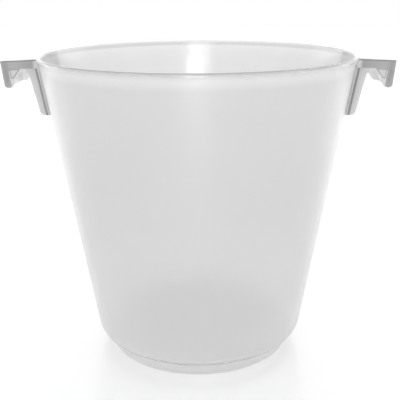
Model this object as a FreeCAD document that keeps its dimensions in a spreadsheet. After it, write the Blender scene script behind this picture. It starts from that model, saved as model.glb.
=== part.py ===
import FreeCAD, Part
import math
import os

import Sketcher

# Wine bucket: a tapered, single-walled moulded pail on a separate foot ring, with two fixed lug
# handles bonded to its wall. The frame stands on the ground: +Z up, the pail's axis is Z, and the
# handles reach out along +X and -X.

doc = FreeCAD.newDocument("WineBucket")
sizes = doc.addObject("Spreadsheet::Sheet", "Sizes")

# Driving dimensions in millimetres and degrees.
drivingSizes = {
    # pail
    "rim_radius": 110.0,
    "rim_height": 214.0,
    "bead_overhang": 0.5,
    "bead_height": 2.2,
    "bead_rounding": 1.1,
    "wall_thickness": 2.2,
    "base_radius": 76.1,
    "corner_radius": 8.5,
    "floor_thickness": 2.6,
    # foot ring and the rib that locates it under the floor
    "foot_height": 9.2,
    "foot_inset": 8.5,
    "foot_flare": 0.7,
    "foot_thickness": 2.6,
    "foot_rounding": 0.7,
    "rib_depth": 3.6,
    "rib_thickness": 2.0,
    "rib_clearance": 0.2,
    # handle, seen from the side
    "handle_projection": 23.3,
    "top_step": 1.0,
    "top_droop": 1.5,
    "top_thickness": 2.2,
    "bar_depth": 6.2,
    "skirt_height": 18.6,
    "skirt_lean": 1.5,
    "skirt_thickness": 2.2,
    "lip_width": 5.4,
    "lip_rounding": 2.3,
    "arch_drop": 9.0,
    "arch_reach": 9.9,
    "arch_rounding": 4.0,
    "leg_length": 38.1,
    "leg_proud_top": 4.9,
    "leg_proud_foot": 4.0,
    "leg_rounding": 3.0,
    "crown_rounding": 1.2,
    # handle, seen from above and from its end
    "root_half_width": 26.5,
    "tip_half_width": 20.7,
    "side_draft": 4.6,
    "web_thickness": 2.0,
    "recess_depth": 0.6,
    "back_thickness": 1.9,
    "bond_gap": 0.2,
    "edge_rounding": 0.35,
}
for row, (alias, value) in enumerate(drivingSizes.items(), start=1):
    sizes.set("A%d" % row, alias)
    sizes.set("B%d" % row, str(value))
    sizes.setAlias("B%d" % row, alias)
doc.recompute()

# Relations between the driving dimensions, each used by more than one piece.
wallTop = "(Sizes.rim_radius - Sizes.bead_overhang)"
wallRise = "(Sizes.rim_height - Sizes.foot_height)"
wallSlope = "((%s - Sizes.base_radius) / %s)" % (wallTop, wallRise)
handleReach = "(Sizes.rim_radius + Sizes.handle_projection)"
crownSlope = "(Sizes.top_droop / Sizes.handle_projection)"
crownTop = "(Sizes.rim_height - Sizes.top_step)"
tipTop = "(%s - Sizes.top_droop)" % crownTop
lipFoot = "(%s - Sizes.skirt_height)" % tipTop
legFoot = "(%s - Sizes.leg_length)" % crownTop
archTop = "(%s - Sizes.arch_drop)" % crownTop
skirtFoot = "(%s - Sizes.skirt_lean)" % handleReach


def wallRadiusAt(height):
    """Outer radius of the pail's wall at a height, as an expression."""
    return "(Sizes.base_radius + %s * (%s - Sizes.foot_height))" % (wallSlope, height)


def crownHeightAt(reach):
    """Height of the handle's sloping top at a reach from the axis, as an expression."""
    return "(%s - %s * (%s - Sizes.rim_radius))" % (crownTop, crownSlope, reach)


def drawProfile(sketch, corners):
    """Draws a closed outline from corners (x, y) or (x, y, rounding), all expressions.

    Each corner is a construction point held by two distances. The edges run through the points, and
    a rounding is an arc, drawn counter-clockwise, tangent to both edges.
    """
    count = len(corners)
    place = [FreeCAD.Vector(float(sketch.evalExpression(corner[0])), float(sketch.evalExpression(corner[1])), 0)
             for corner in corners]
    rounding = [float(sketch.evalExpression(corner[2])) if len(corner) > 2 else 0.0 for corner in corners]
    back = [(place[i - 1] - place[i]).normalize() for i in range(count)]
    ahead = [(place[(i + 1) % count] - place[i]).normalize() for i in range(count)]
    half = [back[i].getAngle(ahead[i]) / 2 for i in range(count)]
    setback = [rounding[i] / math.tan(half[i]) for i in range(count)]

    edges = [sketch.addGeometry(Part.LineSegment(
        place[i] + ahead[i] * setback[i],
        place[(i + 1) % count] + back[(i + 1) % count] * setback[(i + 1) % count]), False)
        for i in range(count)]
    constraints = []
    bindings = {}
    for i, corner in enumerate(corners):
        point = sketch.addGeometry(Part.Point(place[i]), True)
        for kind, axis in (("DistanceX", 0), ("DistanceY", 1)):
            bindings[len(constraints)] = corner[axis]
            constraints.append(Sketcher.Constraint(kind, -1, 1, point, 1, place[i][axis]))
        if rounding[i] > 0:
            inward = (back[i] + ahead[i]).normalize()
            centre = place[i] + inward * (rounding[i] / math.sin(half[i]))
            turnsLeft = back[i].cross(ahead[i]).z < 0
            spokes = [place[i] + edge * setback[i] - centre for edge in (back[i], ahead[i])]
            angles = [math.atan2(spoke.y, spoke.x) for spoke in (spokes if turnsLeft else spokes[::-1])]
            circle = Part.Circle(centre, FreeCAD.Vector(0, 0, 1), rounding[i])
            arc = sketch.addGeometry(Part.ArcOfCircle(circle, angles[0], angles[1]), False)
            arriveEnd = 1 if turnsLeft else 2
            constraints.append(Sketcher.Constraint("Tangent", edges[i - 1], 2, arc, arriveEnd))
            constraints.append(Sketcher.Constraint("Tangent", arc, 3 - arriveEnd, edges[i], 1))
            constraints.append(Sketcher.Constraint("PointOnObject", point, 1, edges[i - 1]))
            constraints.append(Sketcher.Constraint("PointOnObject", point, 1, edges[i]))
            bindings[len(constraints)] = corner[2]
            constraints.append(Sketcher.Constraint("Radius", arc, rounding[i]))
        else:
            constraints.append(Sketcher.Constraint("Coincident", edges[i - 1], 2, point, 1))
            constraints.append(Sketcher.Constraint("Coincident", edges[i], 1, point, 1))
    sketch.addConstraint(constraints)
    for number, expression in bindings.items():
        sketch.setExpression("Constraints[%d]" % number, expression)


def turnedBody(name, corners):
    """A body turned about the pail's axis from a half section of (radius, height) corners."""
    body = doc.addObject("PartDesign::Body", name)
    body.Label = name
    planes = {plane.Role: plane for plane in body.Origin.OriginFeatures}
    section = body.newObject("Sketcher::SketchObject", name + "Section")
    section.AttachmentSupport = [(planes["XZ_Plane"], "")]
    section.MapMode = "FlatFace"
    doc.recompute()
    drawProfile(section, corners)
    turned = body.newObject("PartDesign::Revolution", name + "Turned")
    turned.Profile = section
    turned.ReferenceAxis = (section, ["V_Axis"])
    turned.Angle = 360
    body.Tip = turned
    doc.recompute()
    return body


# Pail: half section from the axis under the floor, round the lower corner, up the wall, over the
# bead, down the inside and back along the floor. The rib under the floor locates the foot ring.
floorTop = "(Sizes.foot_height + Sizes.floor_thickness)"
beadFoot = "(Sizes.rim_height - Sizes.bead_height)"
footRadius = "(Sizes.base_radius - Sizes.foot_inset)"
footTopRadius = "(%s + Sizes.foot_flare)" % footRadius
ribOuter = "(%s - Sizes.foot_thickness - Sizes.rib_clearance)" % footTopRadius
ribInner = "(%s - Sizes.rib_thickness)" % ribOuter
ribFoot = "(Sizes.foot_height - Sizes.rib_depth)"
wallRun = "sqrt(1 + pow(%s; 2))" % wallSlope
innerShift = "(Sizes.wall_thickness * %s)" % wallRun
bucketShell = turnedBody("bucket_shell", [
    ("0", "Sizes.foot_height"),
    (ribInner, "Sizes.foot_height"),
    (ribInner, ribFoot),
    (ribOuter, ribFoot),
    (ribOuter, "Sizes.foot_height"),
    ("Sizes.base_radius", "Sizes.foot_height", "Sizes.corner_radius"),
    (wallRadiusAt(beadFoot), beadFoot),
    ("Sizes.rim_radius", beadFoot),
    ("Sizes.rim_radius", "Sizes.rim_height", "Sizes.bead_rounding"),
    ("%s - %s" % (wallTop, innerShift), "Sizes.rim_height", "Sizes.bead_rounding"),
    ("%s - %s" % (wallRadiusAt(floorTop), innerShift), floorTop,
     "Sizes.corner_radius - Sizes.wall_thickness"),
    ("0", floorTop),
])

# Foot ring: flares a little towards the pail and seats flat under the floor, round the rib.
footRing = turnedBody("foot_ring", [
    ("%s - Sizes.foot_thickness" % footRadius, "0", "Sizes.foot_rounding"),
    (footRadius, "0", "Sizes.foot_rounding"),
    (footTopRadius, "Sizes.foot_height"),
    ("%s - Sizes.foot_thickness" % footTopRadius, "Sizes.foot_height"),
])


def sideProfile(name, corners, halfLength):
    """A bar along Y whose section is an outline of (reach, height) corners."""
    sketch = doc.addObject("Sketcher::SketchObject", name + "Outline")
    sketch.Placement = FreeCAD.Placement(
        FreeCAD.Vector(0, 0, 0), FreeCAD.Rotation(FreeCAD.Vector(1, 0, 0), 90))
    drawProfile(sketch, corners)
    bar = doc.addObject("Part::Extrusion", name)
    bar.Base = sketch
    bar.DirMode = "Normal"
    bar.Solid = True
    bar.Symmetric = True
    bar.setExpression("LengthFwd", "2 * %s" % halfLength)
    return bar


def sideSpace(name, inset):
    """The space outside the handle's two sides, drawn in from them by an inset.

    Seen from above the sides close in from the pail to the tip, and both lean in towards the ground.
    Each is a flat face of a block that is turned until the face lies along the side.
    """
    closing = "((Sizes.root_half_width - Sizes.tip_half_width) / Sizes.handle_projection)"
    leaning = "tan(Sizes.side_draft * 1 deg)"
    start = "(Sizes.base_radius - Sizes.handle_projection)"
    foot = "(%s - Sizes.handle_projection)" % legFoot
    halfWidth = "(Sizes.root_half_width - %s + %s * (Sizes.rim_radius - %s) - %s * (%s - %s))" % (
        inset, closing, start, leaning, crownTop, foot)
    tilt = "acos(1 / sqrt(1 + pow(%s; 2) + pow(%s; 2)))" % (closing, leaning)
    block = doc.addObject("Part::Box", name + "_block")
    for side in ("Length", "Width", "Height"):
        block.setExpression(side, "Sizes.rim_radius")
    block.setExpression("Placement", "placement(vector(%s; %s; %s); rotation(vector(-%s; 0; -%s); %s))" % (
        start, halfWidth, foot, leaning, closing, tilt))
    mirrored = doc.addObject("Part::Mirroring", name + "_mirrored")
    mirrored.Source = block
    mirrored.Normal = FreeCAD.Vector(0, 1, 0)
    both = doc.addObject("Part::Compound", name)
    both.Links = [block, mirrored]
    return both


def combined(kind, name, first, second):
    """The Part boolean of two objects: Common, Cut or Fuse."""
    result = doc.addObject("Part::" + kind, name)
    result.Base = first
    result.Tool = second
    return result


def softened(name, base):
    """The base with a small rounding along every edge of its two slanted sides."""
    doc.recompute()
    sides = [face for face in base.Shape.Faces if abs(face.normalAt(0, 0).y) > 0.9]
    radius = sizes.get("edge_rounding")
    result = doc.addObject("Part::Fillet", name)
    result.Base = base
    result.Edges = [(number, radius, radius) for number, edge in enumerate(base.Shape.Edges, start=1)
                    if any(edge.isSame(other) for face in sides for other in face.Edges)]
    return result


def coneAbout(name, foot, head, extra, halfAngle=None):
    """A cone along the pail's wall between two heights, larger by an extra, whole or as a sector."""
    cone = doc.addObject("Part::Cone", name)
    cone.setExpression("Radius1", "%s + %s" % (wallRadiusAt(foot), extra))
    cone.setExpression("Radius2", "%s + %s" % (wallRadiusAt(head), extra))
    cone.setExpression("Height", "%s - %s" % (head, foot))
    cone.setExpression("Placement.Base.z", foot)
    if halfAngle:
        cone.setExpression("Angle", "2 * %s" % halfAngle)
        cone.setExpression("Placement.Rotation.Angle", "-1 * %s" % halfAngle)
    return cone


def lugHandle(name, turn):
    """One moulded lug handle, made on the +X side and turned about the pail's axis.

    Its outlines start well inside the pail's wall, which is cut away from it at the end.
    """
    inside = "((Sizes.base_radius + Sizes.rim_radius) / 2)"
    tipCorner = (handleReach, tipTop, "Sizes.crown_rounding")
    lipOuter = (skirtFoot, lipFoot, "Sizes.lip_rounding")
    lipInner = ("%s - Sizes.lip_width" % skirtFoot, lipFoot, "Sizes.lip_rounding")
    crownInside = (inside, crownHeightAt(inside))

    # Whole side: top, lip, slanting edge of the corner web, arch over the fingers, leg.
    legTopReach = "(Sizes.rim_radius + Sizes.leg_proud_top - %s * Sizes.arch_drop)" % wallSlope
    legFootReach = "(%s + Sizes.leg_proud_foot)" % wallRadiusAt(legFoot)
    wholeSide = sideProfile(name + "_side", [
        crownInside, tipCorner, lipOuter, lipInner,
        ("Sizes.rim_radius + Sizes.arch_reach", archTop, "Sizes.arch_rounding"),
        (legTopReach, archTop, "Sizes.leg_rounding"),
        (legFootReach, legFoot, "Sizes.leg_rounding"),
        (inside, legFoot),
    ], "Sizes.rim_radius")

    # Raised border of each side: a bar under the top and a band down the lip.
    borderReach = "(%s - Sizes.lip_width)" % handleReach
    borderSide = sideProfile(name + "_border", [
        crownInside, tipCorner, lipOuter, lipInner,
        (borderReach, "%s - Sizes.bar_depth" % crownHeightAt(borderReach), "Sizes.lip_rounding"),
        (inside, "%s - Sizes.bar_depth" % crownHeightAt(inside)),
    ], "Sizes.rim_radius")

    # Finger pocket: open below, closed by the top, the skirt and the two side webs.
    pocketFoot = "(%s - Sizes.leg_proud_foot)" % legFoot
    skirtInside = "(%s - Sizes.skirt_thickness)" % handleReach
    skirtSlope = "(Sizes.skirt_lean / Sizes.skirt_height)"
    pocketSide = sideProfile(name + "_pocket", [
        (inside, "%s - Sizes.top_thickness" % crownHeightAt(inside)),
        (skirtInside, "%s - Sizes.top_thickness" % crownHeightAt(skirtInside), "Sizes.crown_rounding"),
        ("%s - %s * (%s - %s)" % (skirtInside, skirtSlope, tipTop, pocketFoot), pocketFoot),
        (inside, pocketFoot),
    ], "Sizes.rim_radius")

    raised = combined("Cut", name + "_raised", borderSide, sideSpace(name + "_outer", "0"))
    webs = combined("Cut", name + "_webs", wholeSide, sideSpace(name + "_web", "Sizes.recess_depth"))
    pocket = combined("Cut", name + "_hollow", pocketSide, sideSpace(name + "_inner", "Sizes.web_thickness"))
    blank = combined("Fuse", name + "_blank", softened(name + "_soft_border", raised),
                     softened(name + "_soft_webs", webs))
    moulding = combined("Cut", name + "_moulding", blank, pocket)

    # Back plate: a sector of a cone that follows the wall from the leg's foot up into the top plate.
    plateHead = "(%s - Sizes.top_thickness / 2 - Sizes.top_droop / 2)" % crownTop
    halfAngle = "asin(Sizes.root_half_width / Sizes.rim_radius)"
    plate = coneAbout(name + "_plate", legFoot, plateHead,
                      "Sizes.bond_gap + Sizes.back_thickness", halfAngle)
    whole = combined("Fuse", name + "_with_plate", moulding, plate)

    # The pail's wall and bead, with the bond's gap, are cut away from the handle's root.
    wallSpace = coneAbout(name + "_wall", "(%s - Sizes.leg_proud_foot)" % legFoot,
                          "(Sizes.rim_height + Sizes.top_step)", "Sizes.bond_gap")
    bead = doc.addObject("Part::Cylinder", name + "_bead")
    bead.setExpression("Radius", "Sizes.rim_radius + Sizes.bond_gap")
    bead.setExpression("Height", "Sizes.bead_height + Sizes.top_step + Sizes.bond_gap")
    bead.setExpression("Placement.Base.z", "%s - Sizes.bond_gap" % beadFoot)
    handle = combined("Cut", name + "_handle", whole, combined("Fuse", name + "_pail", wallSpace, bead))
    handle.Label = name
    handle.Placement = FreeCAD.Placement(
        FreeCAD.Vector(0, 0, 0), FreeCAD.Rotation(FreeCAD.Vector(0, 0, 1), turn))
    return handle


handleRight = lugHandle("handle_right", 0)
handleLeft = lugHandle("handle_left", 180)
doc.recompute()

pieces = [bucketShell, footRing, handleLeft, handleRight]
for item in doc.Objects:
    if "Invalid" in item.State or "Error" in item.State:
        raise RuntimeError("%s failed: %s" % (item.Name, item.State))
for piece in pieces:
    if piece.Shape.isNull() or not piece.Shape.isValid() or len(piece.Shape.Solids) != 1:
        raise RuntimeError("%s has no valid single solid" % piece.Label)

os.makedirs("parts", exist_ok=True)
for piece in pieces:
    piece.Shape.exportStep(os.path.join("parts", piece.Label + ".step"))
    box = piece.Shape.optimalBoundingBox(False, False)
    print("%-14s %8.1f mm3  x %.1f..%.1f  y %.1f..%.1f  z %.1f..%.1f" % (
        piece.Label, piece.Shape.Volume, box.XMin, box.XMax, box.YMin, box.YMax, box.ZMin, box.ZMax))
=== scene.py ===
from math import cos, radians, sin, tan

import bpy
from mathutils import Matrix, Vector

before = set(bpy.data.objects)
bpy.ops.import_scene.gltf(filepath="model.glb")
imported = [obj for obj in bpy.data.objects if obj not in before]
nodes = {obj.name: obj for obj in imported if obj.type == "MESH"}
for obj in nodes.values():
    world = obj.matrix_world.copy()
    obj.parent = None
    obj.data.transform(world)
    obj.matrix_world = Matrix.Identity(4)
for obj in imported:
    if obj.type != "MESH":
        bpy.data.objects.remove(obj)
scene = bpy.context.scene
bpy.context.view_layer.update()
print("frame loaded:", ", ".join(sorted(nodes)))

perMetre = 1000  # millimetres


# highest coordinate of a node along an axis, in millimetres
def extent(name, axis):
    return max(vertex.co[axis] for vertex in nodes[name].data.vertices) * perMetre


# sizes in millimetres, taken from the frame where it shows them
rimRadius = extent("bucket_shell", 0)
rimHeight = extent("bucket_shell", 2)
footHeight = extent("foot_ring", 2)
handleReach = extent("handle_right", 0)
wallShape = {"base": 76.1, "overhang": 0.5, "thickness": 2.2, "bead": 2.2}
wallSlope = (rimRadius - wallShape["overhang"] - wallShape["base"]) / (rimHeight - footHeight)


def addNode(tree, kind, inputs=None, **settings):
    node = tree.nodes.new(kind)
    for name, value in settings.items():
        setattr(node, name, value)
    for name, value in (inputs or {}).items():
        if isinstance(value, bpy.types.NodeSocket):
            tree.links.new(value, node.inputs[name])
        else:
            node.inputs[name].default_value = value
    return node


def addMath(tree, operation, *values, clamp=False):
    inputs = dict(enumerate(values))
    return addNode(tree, "ShaderNodeMath", inputs, operation=operation, use_clamp=clamp).outputs[0]


def blend(tree, factor, low, high):
    return addNode(tree, "ShaderNodeMix", {"Factor": factor, "A": low, "B": high}).outputs[0]


# 0 below the edge, 1 above it, with a crossing as wide as the softness
def past(tree, value, edge, softness=0.3):
    ahead = addMath(tree, "SUBTRACT", value, edge)
    return addMath(tree, "MULTIPLY_ADD", ahead, 1 / softness, 0.5, clamp=True)


def between(tree, value, low, high, softness=0.3):
    return addMath(tree, "MULTIPLY", past(tree, value, low, softness), past(tree, high, value, softness))


def every(tree, *masks):
    total = masks[0]
    for mask in masks[1:]:
        total = addMath(tree, "MULTIPLY", total, mask)
    return total


def newMaterial(name):
    material = bpy.data.materials.new(name)
    material.use_nodes = True
    material.node_tree.nodes.clear()
    return material


def newGroup(name, inputs, outputs):
    group = bpy.data.node_groups.new(name, "ShaderNodeTree")
    for label, kind, value in inputs:
        socket = group.interface.new_socket(name=label, in_out="INPUT", socket_type=kind)
        if value is not None:
            socket.default_value = value
    for label, kind in outputs:
        group.interface.new_socket(name=label, in_out="OUTPUT", socket_type=kind)
    return group, group.nodes.new("NodeGroupInput"), group.nodes.new("NodeGroupOutput")


# frosting: noise scales per metre, and how far the clouds move the gloss
frostingLook = {"cloudScale": 14.0, "grainScale": 1900.0, "waveScale": 32.0, "glossSwing": 0.06}


# soft clouds in tone and gloss, and the height in millimetres of a fine matt grain on a wavy surface
def buildFrosting(look):
    group, given, out = newGroup("frosting", [
        ("Position", "NodeSocketVector", None),
        ("Tone", "NodeSocketFloat", 0.8),
        ("Cloud", "NodeSocketFloat", 0.03),
        ("Roughness", "NodeSocketFloat", 0.35),
        ("Grain", "NodeSocketFloat", 0.003),
        ("Wave", "NodeSocketFloat", 0.1),
    ], [("Color", "NodeSocketColor"), ("Roughness", "NodeSocketFloat"), ("Height", "NodeSocketFloat")])
    place = given.outputs["Position"]
    cloud = addNode(group, "ShaderNodeTexNoise", {
        "Vector": place, "Scale": look["cloudScale"], "Detail": 3.0, "Roughness": 0.55})
    grain = addNode(group, "ShaderNodeTexNoise", {
        "Vector": place, "Scale": look["grainScale"], "Detail": 2.0, "Roughness": 0.6})
    wave = addNode(group, "ShaderNodeTexNoise", {"Vector": place, "Scale": look["waveScale"], "Detail": 1.0})
    swing = addMath(group, "SUBTRACT", cloud.outputs["Fac"], 0.5)
    level = addMath(group, "MULTIPLY_ADD", swing, given.outputs["Cloud"], 1.0)
    tone = addMath(group, "MULTIPLY", given.outputs["Tone"], level)
    rough = addMath(group, "MULTIPLY_ADD", swing, look["glossSwing"], given.outputs["Roughness"], clamp=True)
    height = addMath(group, "MULTIPLY", grain.outputs["Fac"], given.outputs["Grain"])
    height = addMath(group, "MULTIPLY_ADD", wave.outputs["Fac"], given.outputs["Wave"], height)
    for label, value in (("Color", tone), ("Roughness", rough), ("Height", height)):
        group.links.new(value, out.inputs[label])
    return group


frosting = buildFrosting(frostingLook)


# place on a piece in millimetres: reach along X and side along Y, both unsigned, then height along Z,
# and the distance from the axis
def measure(tree, place):
    scaled = addNode(tree, "ShaderNodeVectorMath", {0: place, 1: (perMetre,) * 3}, operation="MULTIPLY")
    parts = addNode(tree, "ShaderNodeSeparateXYZ", {0: scaled.outputs[0]})
    reach = addMath(tree, "ABSOLUTE", parts.outputs["X"])
    side = addMath(tree, "ABSOLUTE", parts.outputs["Y"])
    sideSquared = addMath(tree, "MULTIPLY", side, side)
    radius = addMath(tree, "SQRT", addMath(tree, "MULTIPLY_ADD", reach, reach, sideSquared))
    return reach, side, parts.outputs["Z"], radius


# radius of the outside of the pail's wall at a height
def wallRadius(tree, height):
    rise = addMath(tree, "SUBTRACT", height, footHeight)
    return addMath(tree, "MULTIPLY_ADD", rise, wallSlope, wallShape["base"])


def plasticMaterial(name, look, paintedShadeAndGloss):
    material = newMaterial(name)
    tree = material.node_tree
    place = addNode(tree, "ShaderNodeTexCoord").outputs["Object"]
    coat = addNode(tree, "ShaderNodeGroup", node_tree=frosting)
    tree.links.new(place, coat.inputs["Position"])
    for label in ("Cloud", "Roughness", "Grain", "Wave"):
        coat.inputs[label].default_value = look[label.lower()]
    # painted light and shade from each part's own function, and for the pail also its gloss and wave
    for label, value in paintedShadeAndGloss(tree, place, look).items():
        tree.links.new(value, coat.inputs[label])
    bump = addNode(tree, "ShaderNodeBump", {
        "Height": coat.outputs["Height"], "Strength": 1.0, "Distance": 1 / perMetre})
    surface = addNode(tree, "ShaderNodeBsdfPrincipled", {
        "Base Color": coat.outputs["Color"], "Roughness": coat.outputs["Roughness"],
        "Normal": bump.outputs["Normal"], "IOR": look["ior"], "Transmission Weight": look["clearness"],
        "Sheen Weight": look["sheen"], "Sheen Roughness": look["sheenRoughness"],
        "Subsurface Weight": look["bleed"], "Subsurface Radius": (1.0, 1.0, 1.0),
        "Subsurface Scale": look["bleedReach"]})
    murk = addNode(tree, "ShaderNodeVolumeAbsorption", {"Color": (0, 0, 0, 1), "Density": look["murk"]})
    addNode(tree, "ShaderNodeOutputMaterial", {"Surface": surface.outputs[0], "Volume": murk.outputs[0]})
    return material


# pail: what the plastic is like, then the painted light and shade on each part of it
pailLook = {"cloud": 0.02, "roughness": 0.34, "polish": 0.14, "grain": 0.003, "wave": 0.1, "innerWave": 0.5,
            "ior": 1.49, "clearness": 0.65, "murk": 5.0, "sheen": 0.8, "sheenRoughness": 0.4,
            "bleed": 0.0, "bleedReach": 0.008,
            "footTone": 1.0, "headShadeTone": 0.848, "paintedLightTone": 1.0, "discShadeTone": 0.78,
            "shadeLineTone": 0.8, "beadTone": 0.75, "edgeTone": 0.54}
# where those parts are, in millimetres; innerStart and innerFade are shares of the height
pailShape = {"collarLight": 8.0, "collarFade": 5.0, "hemLight": 12.0, "hemFade": 14.0,
             "innerStart": 0.7, "innerFade": 0.2, "lineTop": 1.0, "lineFoot": 3.4, "lineFade": 1.0,
             "discRadius": 57.0, "discHeight": 4.0, "discFade": 2.0,
             "edgeWidth": 1.3, "edgeEnd": 6.0, "edgeEndFade": 4.0,
             "beadDepth": 1.7, "beadFade": 1.8, "edgeDepth": 0.6, "edgeFade": 0.2}


# satin outside, polished inside and on the bead; painted light makes it paler above the foot, below the bead
# and high inside, and painted shade darkens it towards the top, in a line under the rim inside, on the floor
# disc and on the bead, whose edge is darkest
def pailPaintedLightAndGloss(tree, place, look):
    shape = pailShape
    reach, side, height, radius = measure(tree, place)
    wallMiddle = addMath(tree, "SUBTRACT", wallRadius(tree, height), wallShape["thickness"] / 2)
    inside = past(tree, wallMiddle, radius)
    rise = addMath(tree, "DIVIDE", height, rimHeight)
    # painted shade: the wall darkens from the foot towards the top
    tone = blend(tree, rise, look["footTone"], look["headShadeTone"])
    # painted light: paler bands under the rim and above the foot, and on the upper inside
    collarLight = past(tree, height, rimHeight - shape["collarLight"], shape["collarFade"])
    hemLight = past(tree, footHeight + shape["hemLight"], height, shape["hemFade"])
    innerTopLight = addMath(tree, "MULTIPLY", inside, past(tree, rise, shape["innerStart"], shape["innerFade"]))
    paintedLight = addMath(tree, "MAXIMUM", addMath(tree, "MAXIMUM", collarLight, hemLight), innerTopLight)
    tone = blend(tree, paintedLight, tone, look["paintedLightTone"])

    # painted shade: a darker line inside, just under the rim
    underRimShade = between(tree, height, rimHeight - shape["lineFoot"], rimHeight - shape["lineTop"],
                       shape["lineFade"])
    tone = blend(tree, every(tree, inside, underRimShade), tone, look["shadeLineTone"])
    # painted shade on the floor disc of the pail
    discShade = every(tree, past(tree, shape["discRadius"], radius, shape["discFade"]),
                 past(tree, footHeight + shape["discHeight"], height))
    tone = blend(tree, discShade, tone, look["discShadeTone"])

    # painted shade on the bead's outer half, and darker on its edge, both fading out towards the handles
    outer = every(tree, past(tree, radius, rimRadius - shape["edgeWidth"]),
                  past(tree, rimRadius - shape["edgeEnd"], reach, shape["edgeEndFade"]))
    for label in ("bead", "edge"):
        top = past(tree, height, rimHeight - shape[label + "Depth"], shape[label + "Fade"])
        tone = blend(tree, every(tree, outer, top), tone, look[label + "Tone"])

    bead = past(tree, height, rimHeight - wallShape["bead"])
    polished = addMath(tree, "MAXIMUM", inside, bead)
    return {"Tone": tone, "Roughness": blend(tree, polished, look["roughness"], look["polish"]),
            "Wave": blend(tree, inside, look["wave"], look["innerWave"])}


nodes["bucket_shell"].data.materials[0] = plasticMaterial("pailPlastic", pailLook, pailPaintedLightAndGloss)

# foot ring
footLook = dict(pailLook, tone=1.0, clearness=0.3, jointShadowTone=0.29, jointDepth=0.9, jointFade=0.6)


# painted shadow: a dark line where the ring meets the pail
def footPaintedShadow(tree, place, look):
    reach, side, height, radius = measure(tree, place)
    jointShadow = past(tree, height, footHeight - look["jointDepth"], look["jointFade"])
    return {"Tone": blend(tree, jointShadow, look["tone"], look["jointShadowTone"])}


nodes["foot_ring"].data.materials[0] = plasticMaterial("footPlastic", footLook, footPaintedShadow)

# handles: the plastic, then the painted shade on each part
handleLook = dict(pailLook, roughness=0.22, clearness=0.22, murk=2.0, bleed=0.95,
                  tone=1.0, innerTone=1.0, plateShadeTone=0.56, legShadeTone=0.7, seamShadeTone=0.25,
                  borderShadeTone=0.46, rootShadeTone=0.37, cornerShadeTone=0.85, lipShadeTone=0.4, ridgeShadeTone=0.27,
                  streakShadeTone=0.33, panelShadeTone=0.76, shadeLineTone=0.4)
# sizes in millimetres and degrees; panelReach and panelHeight are a point on the corner panel's slanted edge
handleShape = {"crownStep": 1.0, "droop": 1.5, "rootHalfWidth": 26.5, "tipHalfWidth": 20.7, "draft": 4.6,
               "barDepth": 6.2, "lipWidth": 5.4, "lipLean": 0.08, "skin": 0.4, "skinFade": 0.2,
               "borderSide": 0.45, "edgeSide": 1.2, "innerSide": 1.6,
               "panelReach": 122.0, "panelHeight": 202.5, "panelTurn": 38.6, "panelFoot": 199.3,
               "lineWidth": 0.8, "seamStart": 1.5, "seamEnd": 3.0, "seamFade": 0.6,
               "plateEnd": 5.0, "plateFade": 6.0, "legEnd": 9.5, "legFade": 1.0,
               "rootEnd": 6.0, "rootFade": 14.0, "cornerEnd": -1.2, "cornerFade": 2.0,
               "ridge": 1.3, "ridgeFade": 0.8, "streakStart": 2.2, "streakEnd": 3.4, "streakFade": 0.8,
               "streakTop": 4.0, "streakFoot": 17.0, "streakEndFade": 2.0}
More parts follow.
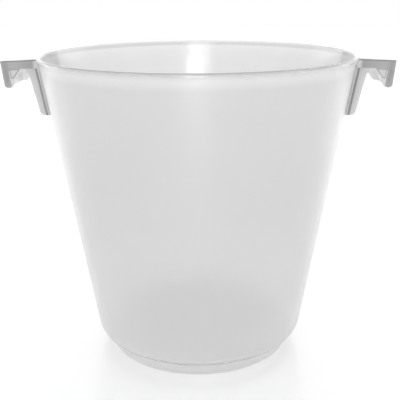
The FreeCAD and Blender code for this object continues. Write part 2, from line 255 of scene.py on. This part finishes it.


# painted shade: darker border and back plate edges, where the sides are seen through more plastic, on paler
# webs
def handlePaintedShade(tree, place, look):
    shape = handleShape
    reach, side, height, radius = measure(tree, place)
    outward = addMath(tree, "SUBTRACT", reach, rimRadius)
    projection = handleReach - rimRadius
    crownTop = rimHeight - shape["crownStep"]
    belowTop = addMath(tree, "SUBTRACT", height, crownTop)
    crown = addMath(tree, "MULTIPLY_ADD", outward, -shape["droop"] / projection, crownTop)
    closing = (shape["rootHalfWidth"] - shape["tipHalfWidth"]) / projection
    halfWidth = addMath(tree, "MULTIPLY_ADD", outward, -closing, shape["rootHalfWidth"])
    halfWidth = addMath(tree, "MULTIPLY_ADD", belowTop, tan(radians(shape["draft"])), halfWidth)
    fade = shape["skinFade"]
    raised = past(tree, side, addMath(tree, "SUBTRACT", halfWidth, shape["borderSide"]), fade)
    edgeSide = past(tree, side, addMath(tree, "SUBTRACT", halfWidth, shape["edgeSide"]), fade)
    inner = past(tree, addMath(tree, "SUBTRACT", halfWidth, shape["innerSide"]), side)
    border = every(tree, raised, past(tree, addMath(tree, "SUBTRACT", crown, shape["skin"]), height))

    # the corner panel, as a distance that is below 0 inside its outline
    barFoot = addMath(tree, "SUBTRACT", crown, shape["barDepth"])
    lip = addMath(tree, "MULTIPLY_ADD", belowTop, shape["lipLean"], handleReach - shape["lipWidth"])
    turn = radians(shape["panelTurn"])
    slantEdge = cos(turn) * shape["panelReach"] + sin(turn) * shape["panelHeight"]
    slant = addMath(tree, "MULTIPLY_ADD", reach, cos(turn), addMath(tree, "MULTIPLY", height, sin(turn)))
    panel = addMath(tree, "SUBTRACT", height, barFoot)
    for limit in (addMath(tree, "SUBTRACT", reach, lip), addMath(tree, "SUBTRACT", slantEdge, slant),
                  addMath(tree, "SUBTRACT", shape["panelFoot"], height)):
        panel = addMath(tree, "MAXIMUM", panel, limit)
    line = every(tree, between(tree, panel, -shape["lineWidth"], 0.0), edgeSide)

    # painted shade on the back plate, leg and webs, by how proud of the pail's wall they stand, with a dark
    # line of painted shade close to the wall
    proud = addMath(tree, "SUBTRACT", radius, wallRadius(tree, height))
    seamShade = every(tree, between(tree, proud, shape["seamStart"], shape["seamEnd"], shape["seamFade"]),
                 edgeSide, past(tree, barFoot, height))
    tone = blend(tree, past(tree, proud, shape["plateEnd"], shape["plateFade"]),
                 look["plateShadeTone"], look["legShadeTone"])
    nearWall = between(tree, proud, shape["seamStart"], shape["legEnd"], shape["legFade"])
    tone = blend(tree, nearWall, look["tone"], tone)
    # painted shade on the corner panel
    tone = blend(tree, every(tree, past(tree, -shape["lineWidth"], panel), edgeSide), tone, look["panelShadeTone"])
    tone = blend(tree, inner, tone, look["innerTone"])

    # painted shade on the raised border: the bar from the pail's wall to the lip, with a darker ridge on top
    # and a darker streak down the lip
    barShadeTone = blend(tree, past(tree, outward, shape["rootEnd"], shape["rootFade"]),
                    look["rootShadeTone"], look["borderShadeTone"])
    barShadeTone = blend(tree, past(tree, reach, lip), barShadeTone, look["lipShadeTone"])
    barShadeTone = blend(tree, past(tree, outward, shape["cornerEnd"], shape["cornerFade"]),
                    look["cornerShadeTone"], barShadeTone)
    tone = blend(tree, border, tone, barShadeTone)
    ridge = past(tree, height, addMath(tree, "SUBTRACT", crown, shape["ridge"]), shape["ridgeFade"])
    tone = blend(tree, every(tree, border, ridge), tone, look["ridgeShadeTone"])
    depth = addMath(tree, "SUBTRACT", addMath(tree, "ADD", lip, shape["lipWidth"]), reach)
    across = between(tree, depth, shape["streakStart"], shape["streakEnd"], shape["streakFade"])
    along = between(tree, height, crownTop - shape["streakFoot"], crownTop - shape["streakTop"],
                    shape["streakEndFade"])
    tone = blend(tree, every(tree, border, across, along), tone, look["streakShadeTone"])
    # painted shade: a dark line round the corner panel
    tone = blend(tree, line, tone, look["shadeLineTone"])
    return {"Tone": blend(tree, seamShade, tone, look["seamShadeTone"])}


handlePlastic = plasticMaterial("handlePlastic", handleLook, handlePaintedShade)
for name in ("handle_left", "handle_right"):
    nodes[name].data.materials[0] = handlePlastic
print("materials done")

# floor: white paper that glows to the camera and keeps a soft shadow, under a gloss that shows the pail
floorLook = {"size": 8.0, "bounce": 0.92, "shade": 0.22, "shadeThrough": 0.7,
             "gloss": 0.01, "haze": 0.4, "hazeShare": 0.6,
             "mirror": 0.37, "frontMirror": 0.26, "fadeStart": 0.03, "fadeEnd": 0.085}
white = (1, 1, 1, 1)


def floorMaterial(look):
    material = newMaterial("floorPaint")
    tree = material.node_tree
    path = addNode(tree, "ShaderNodeLightPath").outputs
    lit = addNode(tree, "ShaderNodeBsdfDiffuse", {"Color": (look["bounce"],) * 3 + (1,)})
    shaded = addNode(tree, "ShaderNodeBsdfDiffuse", {"Color": white})
    glow = addNode(tree, "ShaderNodeEmission", {"Color": white, "Strength": 1.0})
    shade = blend(tree, path["Is Transmission Ray"], look["shade"], look["shadeThrough"])
    paper = addNode(tree, "ShaderNodeMixShader", {0: shade, 1: glow.outputs[0], 2: shaded.outputs[0]})

    sharp = addNode(tree, "ShaderNodeBsdfGlossy", {"Color": white, "Roughness": look["gloss"]})
    soft = addNode(tree, "ShaderNodeBsdfGlossy", {"Color": white, "Roughness": look["haze"]})
    mirror = addNode(tree, "ShaderNodeMixShader", {
        0: look["hazeShare"], 1: sharp.outputs[0], 2: soft.outputs[0]})
    spot = addNode(tree, "ShaderNodeSeparateXYZ", {0: addNode(tree, "ShaderNodeTexCoord").outputs["Object"]})
    front = addNode(tree, "ShaderNodeMapRange", {
        "Value": addMath(tree, "MULTIPLY", spot.outputs["Y"], -1.0),
        "From Min": look["fadeStart"], "From Max": look["fadeEnd"]}).outputs[0]
    share = addMath(tree, "MULTIPLY", path["Is Camera Ray"],
                    blend(tree, front, look["mirror"], look["frontMirror"]))
    sheet = addNode(tree, "ShaderNodeMixShader", {0: share, 1: paper.outputs[0], 2: mirror.outputs[0]})

    # the sheet is for rays that see the floor, plain diffuse white for those that light the pail
    seen = addMath(tree, "MAXIMUM", path["Is Camera Ray"],
                   addMath(tree, "MAXIMUM", path["Is Glossy Ray"], path["Is Transmission Ray"]))
    surface = addNode(tree, "ShaderNodeMixShader", {0: seen, 1: lit.outputs[0], 2: sheet.outputs[0]})
    addNode(tree, "ShaderNodeOutputMaterial", {"Surface": surface.outputs[0]})
    return material


bpy.ops.object.select_all(action="DESELECT")
bpy.ops.mesh.primitive_plane_add(size=floorLook["size"], location=(0, 0, 0))
floor = bpy.context.object
floor.name = "floor"
floor.data.materials.append(floorMaterial(floorLook))

world = bpy.data.worlds.new("studio")
scene.world = world
world.use_nodes = True
world.node_tree.nodes["Background"].inputs["Color"].default_value = white
world.node_tree.nodes["Background"].inputs["Strength"].default_value = 1.0

# lamps: place, width, height and power
lampLook = {"frontCard": ((0.12, -1.5, 0.425), 0.3, 0.3, 5.0),
            "smallCard": ((-0.13, -1.5, 0.565), 0.16, 0.04, 0.25),
            "lowCard": ((0, -1.5, 0.06), 0.42, 0.1, 1.1)}
topLook = {"place": (0, 0, 1.6), "size": 1.6, "power": 4.5}
lampAim = (0, 0, 0.2)


def addSoftbox(name, location, aim, width, height, power):
    data = bpy.data.lights.new(name, "AREA")
    data.shape = "RECTANGLE"
    data.size = width
    data.size_y = height
    data.energy = power
    lamp = bpy.data.objects.new(name, data)
    scene.collection.objects.link(lamp)
    lamp.location = location
    direction = lamp.location - Vector(aim)
    lamp.rotation_euler = direction.to_track_quat("Z", "Y").to_euler()
    return lamp


for name, (place, width, height, power) in lampLook.items():
    addSoftbox(name, place, lampAim, width, height, power).visible_diffuse = False
addSoftbox("topCard", topLook["place"], (0, 0, 0), topLook["size"], topLook["size"], topLook["power"])

# white cards that only mirror-like reflections see: on the floor behind the pail and in front of it,
# and standing in an arc behind it
floorCards = {"floorCard": ((0, 1.5, 0.002), 6.0, 3.0, 2.25),
              "glareCard": ((0, -0.56, 0.002), 0.08, 0.2, 28.0)}
arcCards = {"leftCard": 50, "backCard": 0, "rightCard": -50}
arcLook = {"place": (0, 2.5, 0.3), "width": 2.1, "height": 0.8, "strength": 2.0}
cardFade = 0.5  # metres in which a card on the floor rises from the strength of the room to its own


# a one-sided card, which stands facing the pail when it has a turn, or else lies on the floor
def addCard(name, location, width, height, strength, turn=None):
    flat = turn is None
    paint = newMaterial(name + "Paint")
    tree = paint.node_tree
    along = addNode(tree, "ShaderNodeSeparateXYZ", {0: addNode(tree, "ShaderNodeTexCoord").outputs["Object"]})
    level = addNode(tree, "ShaderNodeMapRange", {
        "Value": along.outputs["Y"], "From Min": -height / 2, "From Max": cardFade - height / 2,
        "To Min": 1.0 if flat else strength, "To Max": strength})
    glow = addNode(tree, "ShaderNodeEmission", {"Color": white, "Strength": level.outputs[0]})
    behind = addNode(tree, "ShaderNodeNewGeometry").outputs["Backfacing"]
    clear = addNode(tree, "ShaderNodeBsdfTransparent")
    oneSided = addNode(tree, "ShaderNodeMixShader", {0: behind, 1: glow.outputs[0], 2: clear.outputs[0]})
    addNode(tree, "ShaderNodeOutputMaterial", {"Surface": oneSided.outputs[0]})
    paint.cycles.emission_sampling = "NONE"
    rotation = (0, 0, 0) if flat else (radians(90), 0, radians(turn))
    bpy.ops.object.select_all(action="DESELECT")
    bpy.ops.mesh.primitive_plane_add(size=1, location=location, rotation=rotation)
    card = bpy.context.object
    card.name = name
    card.scale = (width, height, 1)
    bpy.ops.object.transform_apply(location=False, rotation=False, scale=True)
    card.data.materials.append(paint)
    for ray in ("camera", "diffuse", "transmission", "volume_scatter", "shadow"):
        setattr(card, "visible_" + ray, False)


for name, settings in floorCards.items():
    addCard(name, *settings)
for name, turn in arcCards.items():
    place = Matrix.Rotation(radians(turn), 4, "Z") @ Vector(arcLook["place"])
    addCard(name, place, arcLook["width"], arcLook["height"], arcLook["strength"], turn)
print("stage done")

# camera: metres, degrees and millimetres
cameraLook = {"place": (0.01686, -0.48281, 0.26167), "pitch": -17.813, "heading": 1.874, "roll": -0.35,
              "lens": 61.196, "sensor": 36}
cameraData = bpy.data.cameras.new("camera")
cameraData.lens = cameraLook["lens"]
cameraData.sensor_width = cameraLook["sensor"]
camera = bpy.data.objects.new("camera", cameraData)
scene.collection.objects.link(camera)
heading = Matrix.Rotation(radians(cameraLook["heading"]), 4, "Z")
pitch = Matrix.Rotation(radians(90 + cameraLook["pitch"]), 4, "X")
roll = Matrix.Rotation(radians(cameraLook["roll"]), 4, "Z")
camera.matrix_world = Matrix.Translation(cameraLook["place"]) @ heading @ pitch @ roll
scene.camera = camera
scene.view_settings.view_transform = "Standard"
